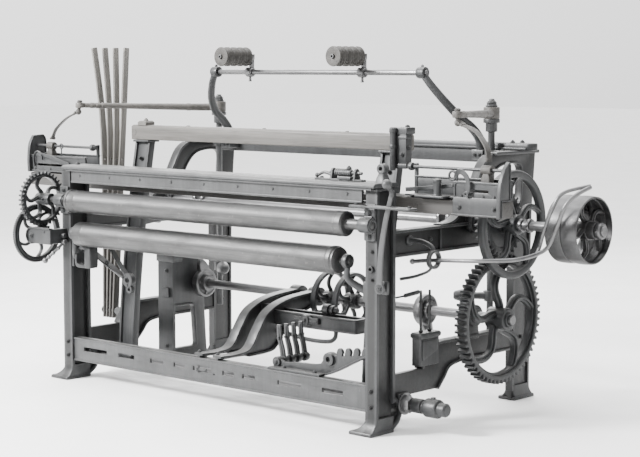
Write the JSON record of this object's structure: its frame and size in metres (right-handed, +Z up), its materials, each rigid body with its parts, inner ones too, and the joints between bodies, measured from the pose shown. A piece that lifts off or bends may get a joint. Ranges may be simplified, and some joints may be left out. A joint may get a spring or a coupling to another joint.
{
  "type": "overpick power loom",
  "caption": "Cast-iron overpick power loom: end frames, two front rollers, swinging lay with shuttle boxes, picking arms, gears, flywheel and belt pulleys.",
  "frame": {"origin": "on the floor, midway between the two end frames and 0.52 m behind the front of the breast beam", "axes": "+X towards the belt-pulley end, -Y towards the weaver, +Z up"},
  "size_m": [2.785, 1.2, 1.4574],
  "materials": {
    "arch_bracket_left": "painted casting, satin",
    "arch_bracket_right": "painted casting, satin",
    "belt_fork": "turned and oiled",
    "breast_beam": "painted casting, satin",
    "cap_post": "painted casting, satin",
    "cloth_roller": "turned and oiled",
    "cloth_roller_arm_left": "painted casting, satin",
    "cloth_roller_arm_right": "painted casting, satin",
    "connecting_rod_left": "turned and oiled",
    "connecting_rod_right": "turned and oiled",
    "crank_pinion": "painted casting, satin",
    "crankshaft": "turned and oiled",
    "end_frame_left": "painted casting, satin",
    "end_frame_right": "painted casting, satin",
    "fast_pulley": "painted casting, satin",
    "flywheel": "painted casting, satin",
    "front_rail": "painted casting, satin",
    "harness_pulley_1": "planed hardwood",
    "harness_pulley_2": "planed hardwood",
    "harness_rod": "turned and oiled",
    "heald_lever_1": "planed hardwood",
    "heald_lever_2": "planed hardwood",
    "heald_lever_3": "planed hardwood",
    "heald_lever_4": "planed hardwood",
    "lay_beam": "planed hardwood",
    "loose_pulley": "painted casting, satin",
    "middle_bracket": "painted casting, satin",
    "pick_arm_left": "planed hardwood",
    "pick_arm_right": "planed hardwood",
    "pick_shaft_left": "turned and oiled",
    "pick_shaft_right": "turned and oiled",
    "pick_strap_left": "oiled hide",
    "pick_strap_right": "oiled hide",
    "picker_left": "oiled hide",
    "picker_right": "oiled hide",
    "ratchet_bracket": "painted casting, satin",
    "ratchet_wheel": "painted casting, satin",
    "rear_rail": "painted casting, satin",
    "rocker_shaft": "turned and oiled",
    "shaft_standard": "painted casting, satin",
    "shuttle_box_left": "painted casting, satin",
    "shuttle_box_right": "painted casting, satin",
    "sley_cap": "planed hardwood",
    "starting_handle": "turned and oiled",
    "sword_left": "painted casting, satin",
    "sword_right": "painted casting, satin",
    "take_up_bearing_left": "painted casting, satin",
    "take_up_bearing_right": "painted casting, satin",
    "take_up_gear": "painted casting, satin",
    "take_up_pawl": "turned and oiled",
    "take_up_roller": "turned and oiled",
    "tappet_gear": "painted casting, satin",
    "tappet_shaft": "turned and oiled",
    "tappet_wheel_1": "painted casting, satin",
    "tappet_wheel_2": "painted casting, satin",
    "treadle_1": "painted casting, satin",
    "treadle_2": "painted casting, satin",
    "treadle_3": "painted casting, satin",
    "treadle_4": "painted casting, satin",
    "treadle_stand": "painted casting, satin"
  },
  "bodies": {
    "frame": {"end_frame_left": "end_frame_left", "end_frame_right": "end_frame_right", "front_rail": "front_rail", "breast_beam": "breast_beam", "rear_rail": "rear_rail", "take_up_bearing_left": "take_up_bearing_left", "take_up_bearing_right": "take_up_bearing_right", "cloth_roller_arm_left": "cloth_roller_arm_left", "cloth_roller_arm_right": "cloth_roller_arm_right", "ratchet_bracket": "ratchet_bracket", "middle_bracket": "middle_bracket", "shaft_standard": "shaft_standard", "treadle_stand": "treadle_stand", "arch_bracket_left": "arch_bracket_left", "arch_bracket_right": "arch_bracket_right", "harness_rod": "harness_rod"},
    "crank": {"crankshaft": "crankshaft", "crank_pinion": "crank_pinion", "flywheel": "flywheel", "fast_pulley": "fast_pulley"},
    "loose_pulley": {"loose_pulley": "loose_pulley"},
    "tappets": {"tappet_shaft": "tappet_shaft", "tappet_gear": "tappet_gear", "tappet_wheel_1": "tappet_wheel_1", "tappet_wheel_2": "tappet_wheel_2"},
    "connecting_rod_left": {"connecting_rod_left": "connecting_rod_left"},
    "connecting_rod_right": {"connecting_rod_right": "connecting_rod_right"},
    "sley": {"rocker_shaft": "rocker_shaft", "sword_left": "sword_left", "sword_right": "sword_right", "lay_beam": "lay_beam", "sley_cap": "sley_cap", "cap_post": "cap_post", "shuttle_box_left": "shuttle_box_left", "shuttle_box_right": "shuttle_box_right"},
    "pick_left": {"pick_shaft_left": "pick_shaft_left", "pick_arm_left": "pick_arm_left"},
    "pick_right": {"pick_shaft_right": "pick_shaft_right", "pick_arm_right": "pick_arm_right"},
    "strap_left": {"pick_strap_left": "pick_strap_left"},
    "strap_right": {"pick_strap_right": "pick_strap_right"},
    "picker_left": {"picker_left": "picker_left"},
    "picker_right": {"picker_right": "picker_right"},
    "take_up": {"take_up_roller": "take_up_roller", "take_up_gear": "take_up_gear"},
    "ratchet": {"ratchet_wheel": "ratchet_wheel"},
    "pawl": {"take_up_pawl": "take_up_pawl"},
    "cloth_roller": {"cloth_roller": "cloth_roller"},
    "handle": {"starting_handle": "starting_handle"},
    "fork": {"belt_fork": "belt_fork"},
    "heald_lever_1": {"heald_lever_1": "heald_lever_1"},
    "treadle_1": {"treadle_1": "treadle_1"},
    "heald_lever_2": {"heald_lever_2": "heald_lever_2"},
    "treadle_2": {"treadle_2": "treadle_2"},
    "heald_lever_3": {"heald_lever_3": "heald_lever_3"},
    "treadle_3": {"treadle_3": "treadle_3"},
    "heald_lever_4": {"heald_lever_4": "heald_lever_4"},
    "treadle_4": {"treadle_4": "treadle_4"},
    "harness_pulley_1": {"harness_pulley_1": "harness_pulley_1"},
    "harness_pulley_2": {"harness_pulley_2": "harness_pulley_2"}
  },
  "joints": [
    {"name": "crank_spin", "type": "hinge", "parent": "frame", "child": "crank", "pos_m": [0, 0.13, 0.76], "axis": [1, 0, 0], "continuous": true},
    {"name": "loose_pulley_spin", "type": "hinge", "parent": "frame", "child": "loose_pulley", "pos_m": [1.404, 0.13, 0.76], "axis": [1, 0, 0], "continuous": true},
    {"name": "tappet_spin", "type": "hinge", "parent": "frame", "child": "tappets", "pos_m": [0, 0.13, 0.385], "axis": [1, 0, 0], "continuous": true},
    {"name": "connecting_rod_left_turn", "type": "hinge", "parent": "crank", "child": "connecting_rod_left", "pos_m": [-0.66, 0.13, 0.73], "axis": [1, 0, 0], "continuous": true},
    {"name": "connecting_rod_right_turn", "type": "hinge", "parent": "crank", "child": "connecting_rod_right", "pos_m": [0.74, 0.13, 0.73], "axis": [1, 0, 0], "continuous": true},
    {"name": "sley_swing", "type": "hinge", "parent": "frame", "child": "sley", "pos_m": [0, -0.32, 0.1], "axis": [1, 0, 0], "range_deg": [-2.8, 2.8]},
    {"name": "pick_left_swing", "type": "hinge", "parent": "frame", "child": "pick_left", "pos_m": [-0.785, 0.375, 1.18], "axis": [0, 0, 1], "range_deg": [0, 22]},
    {"name": "strap_left_turn", "type": "hinge", "parent": "pick_left", "child": "strap_left", "pos_m": [-1.06815, -0.23223, 1.18], "axis": [0, 0, 1], "range_deg": [-22.5, 0]},
    {"name": "picker_left_slide", "type": "slide", "parent": "sley", "child": "picker_left", "axis": [1, 0, 0], "range_m": [0, 0.25]},
    {"name": "pick_right_swing", "type": "hinge", "parent": "frame", "child": "pick_right", "pos_m": [0.785, 0.375, 1.18], "axis": [0, 0, -1], "range_deg": [0, 22]},
    {"name": "strap_right_turn", "type": "hinge", "parent": "pick_right", "child": "strap_right", "pos_m": [1.06815, -0.23223, 1.18], "axis": [0, 0, -1], "range_deg": [-22.5, 0]},
    {"name": "picker_right_slide", "type": "slide", "parent": "sley", "child": "picker_right", "axis": [-1, 0, 0], "range_m": [0, 0.25]},
    {"name": "take_up_spin", "type": "hinge", "parent": "frame", "child": "take_up", "pos_m": [0, -0.514, 0.79], "axis": [1, 0, 0], "continuous": true},
    {"name": "ratchet_spin", "type": "hinge", "parent": "frame", "child": "ratchet", "pos_m": [-0.99, -0.514, 0.635], "axis": [1, 0, 0], "continuous": true},
    {"name": "cloth_roller_spin", "type": "hinge", "parent": "frame", "child": "cloth_roller", "pos_m": [0, -0.51, 0.65], "axis": [1, 0, 0], "continuous": true},
    {"name": "pawl_swing", "type": "hinge", "parent": "frame", "child": "pawl", "pos_m": [-0.852, -0.515, 0.61], "axis": [1, 0, 0], "range_deg": [-8, 8]},
    {"name": "heald_lever_1_swing", "type": "hinge", "parent": "frame", "child": "heald_lever_1", "pos_m": [-1.118, -0.045, 0.235], "axis": [1, 0, 0], "range_deg": [-2.5, 2.5]},
    {"name": "treadle_1_swing", "type": "hinge", "parent": "frame", "child": "treadle_1", "pos_m": [0.345, -0.4, 0.212], "axis": [0, 1, 0], "range_deg": [-5, 5]},
    {"name": "heald_lever_2_swing", "type": "hinge", "parent": "frame", "child": "heald_lever_2", "pos_m": [-1.098, -0.045, 0.235], "axis": [1, 0, 0], "range_deg": [-2.5, 2.5]},
    {"name": "treadle_2_swing", "type": "hinge", "parent": "frame", "child": "treadle_2", "pos_m": [0.345, -0.358, 0.212], "axis": [0, 1, 0], "range_deg": [-5, 5]},
    {"name": "heald_lever_3_swing", "type": "hinge", "parent": "frame", "child": "heald_lever_3", "pos_m": [-1.078, -0.045, 0.235], "axis": [1, 0, 0], "range_deg": [-2.5, 2.5]},
    {"name": "treadle_3_swing", "type": "hinge", "parent": "frame", "child": "treadle_3", "pos_m": [0.345, -0.316, 0.212], "axis": [0, 1, 0], "range_deg": [-5, 5]},
    {"name": "heald_lever_4_swing", "type": "hinge", "parent": "frame", "child": "heald_lever_4", "pos_m": [-1.058, -0.045, 0.235], "axis": [1, 0, 0], "range_deg": [-2.5, 2.5]},
    {"name": "treadle_4_swing", "type": "hinge", "parent": "frame", "child": "treadle_4", "pos_m": [0.345, -0.274, 0.212], "axis": [0, 1, 0], "range_deg": [-5, 5]},
    {"name": "harness_pulley_1_spin", "type": "hinge", "parent": "frame", "child": "harness_pulley_1", "pos_m": [-0.4, 0.083, 1.412], "axis": [0, 1, 0], "continuous": true},
    {"name": "harness_pulley_2_spin", "type": "hinge", "parent": "frame", "child": "harness_pulley_2", "pos_m": [0.25, 0.083, 1.412], "axis": [0, 1, 0], "continuous": true},
    {"name": "handle_swing", "type": "hinge", "parent": "frame", "child": "handle", "pos_m": [0.925, -0.508, 0.56], "axis": [0, 1, 0], "range_deg": [-9, 0]},
    {"name": "fork_slide", "type": "slide", "parent": "frame", "child": "fork", "axis": [1, 0, 0], "range_m": [-0.07, 0]}
  ],
  "couplings": [
    {"joint": "tappet_spin", "follows": "crank_spin", "ratio": -0.5},
    {"joint": "connecting_rod_left_turn", "follows": "crank_spin", "ratio": -1},
    {"joint": "connecting_rod_right_turn", "follows": "crank_spin", "ratio": -1},
    {"joint": "ratchet_spin", "follows": "take_up_spin", "ratio": -3},
    {"joint": "fork_slide", "follows": "handle_swing", "m_per_rad": 0.433},
    {"joint": "strap_left_turn", "follows": "pick_left_swing", "ratio": -1},
    {"joint": "picker_left_slide", "follows": "pick_left_swing", "m_per_rad": 0.64},
    {"joint": "strap_right_turn", "follows": "pick_right_swing", "ratio": -1},
    {"joint": "picker_right_slide", "follows": "pick_right_swing", "m_per_rad": 0.64}
  ]
}
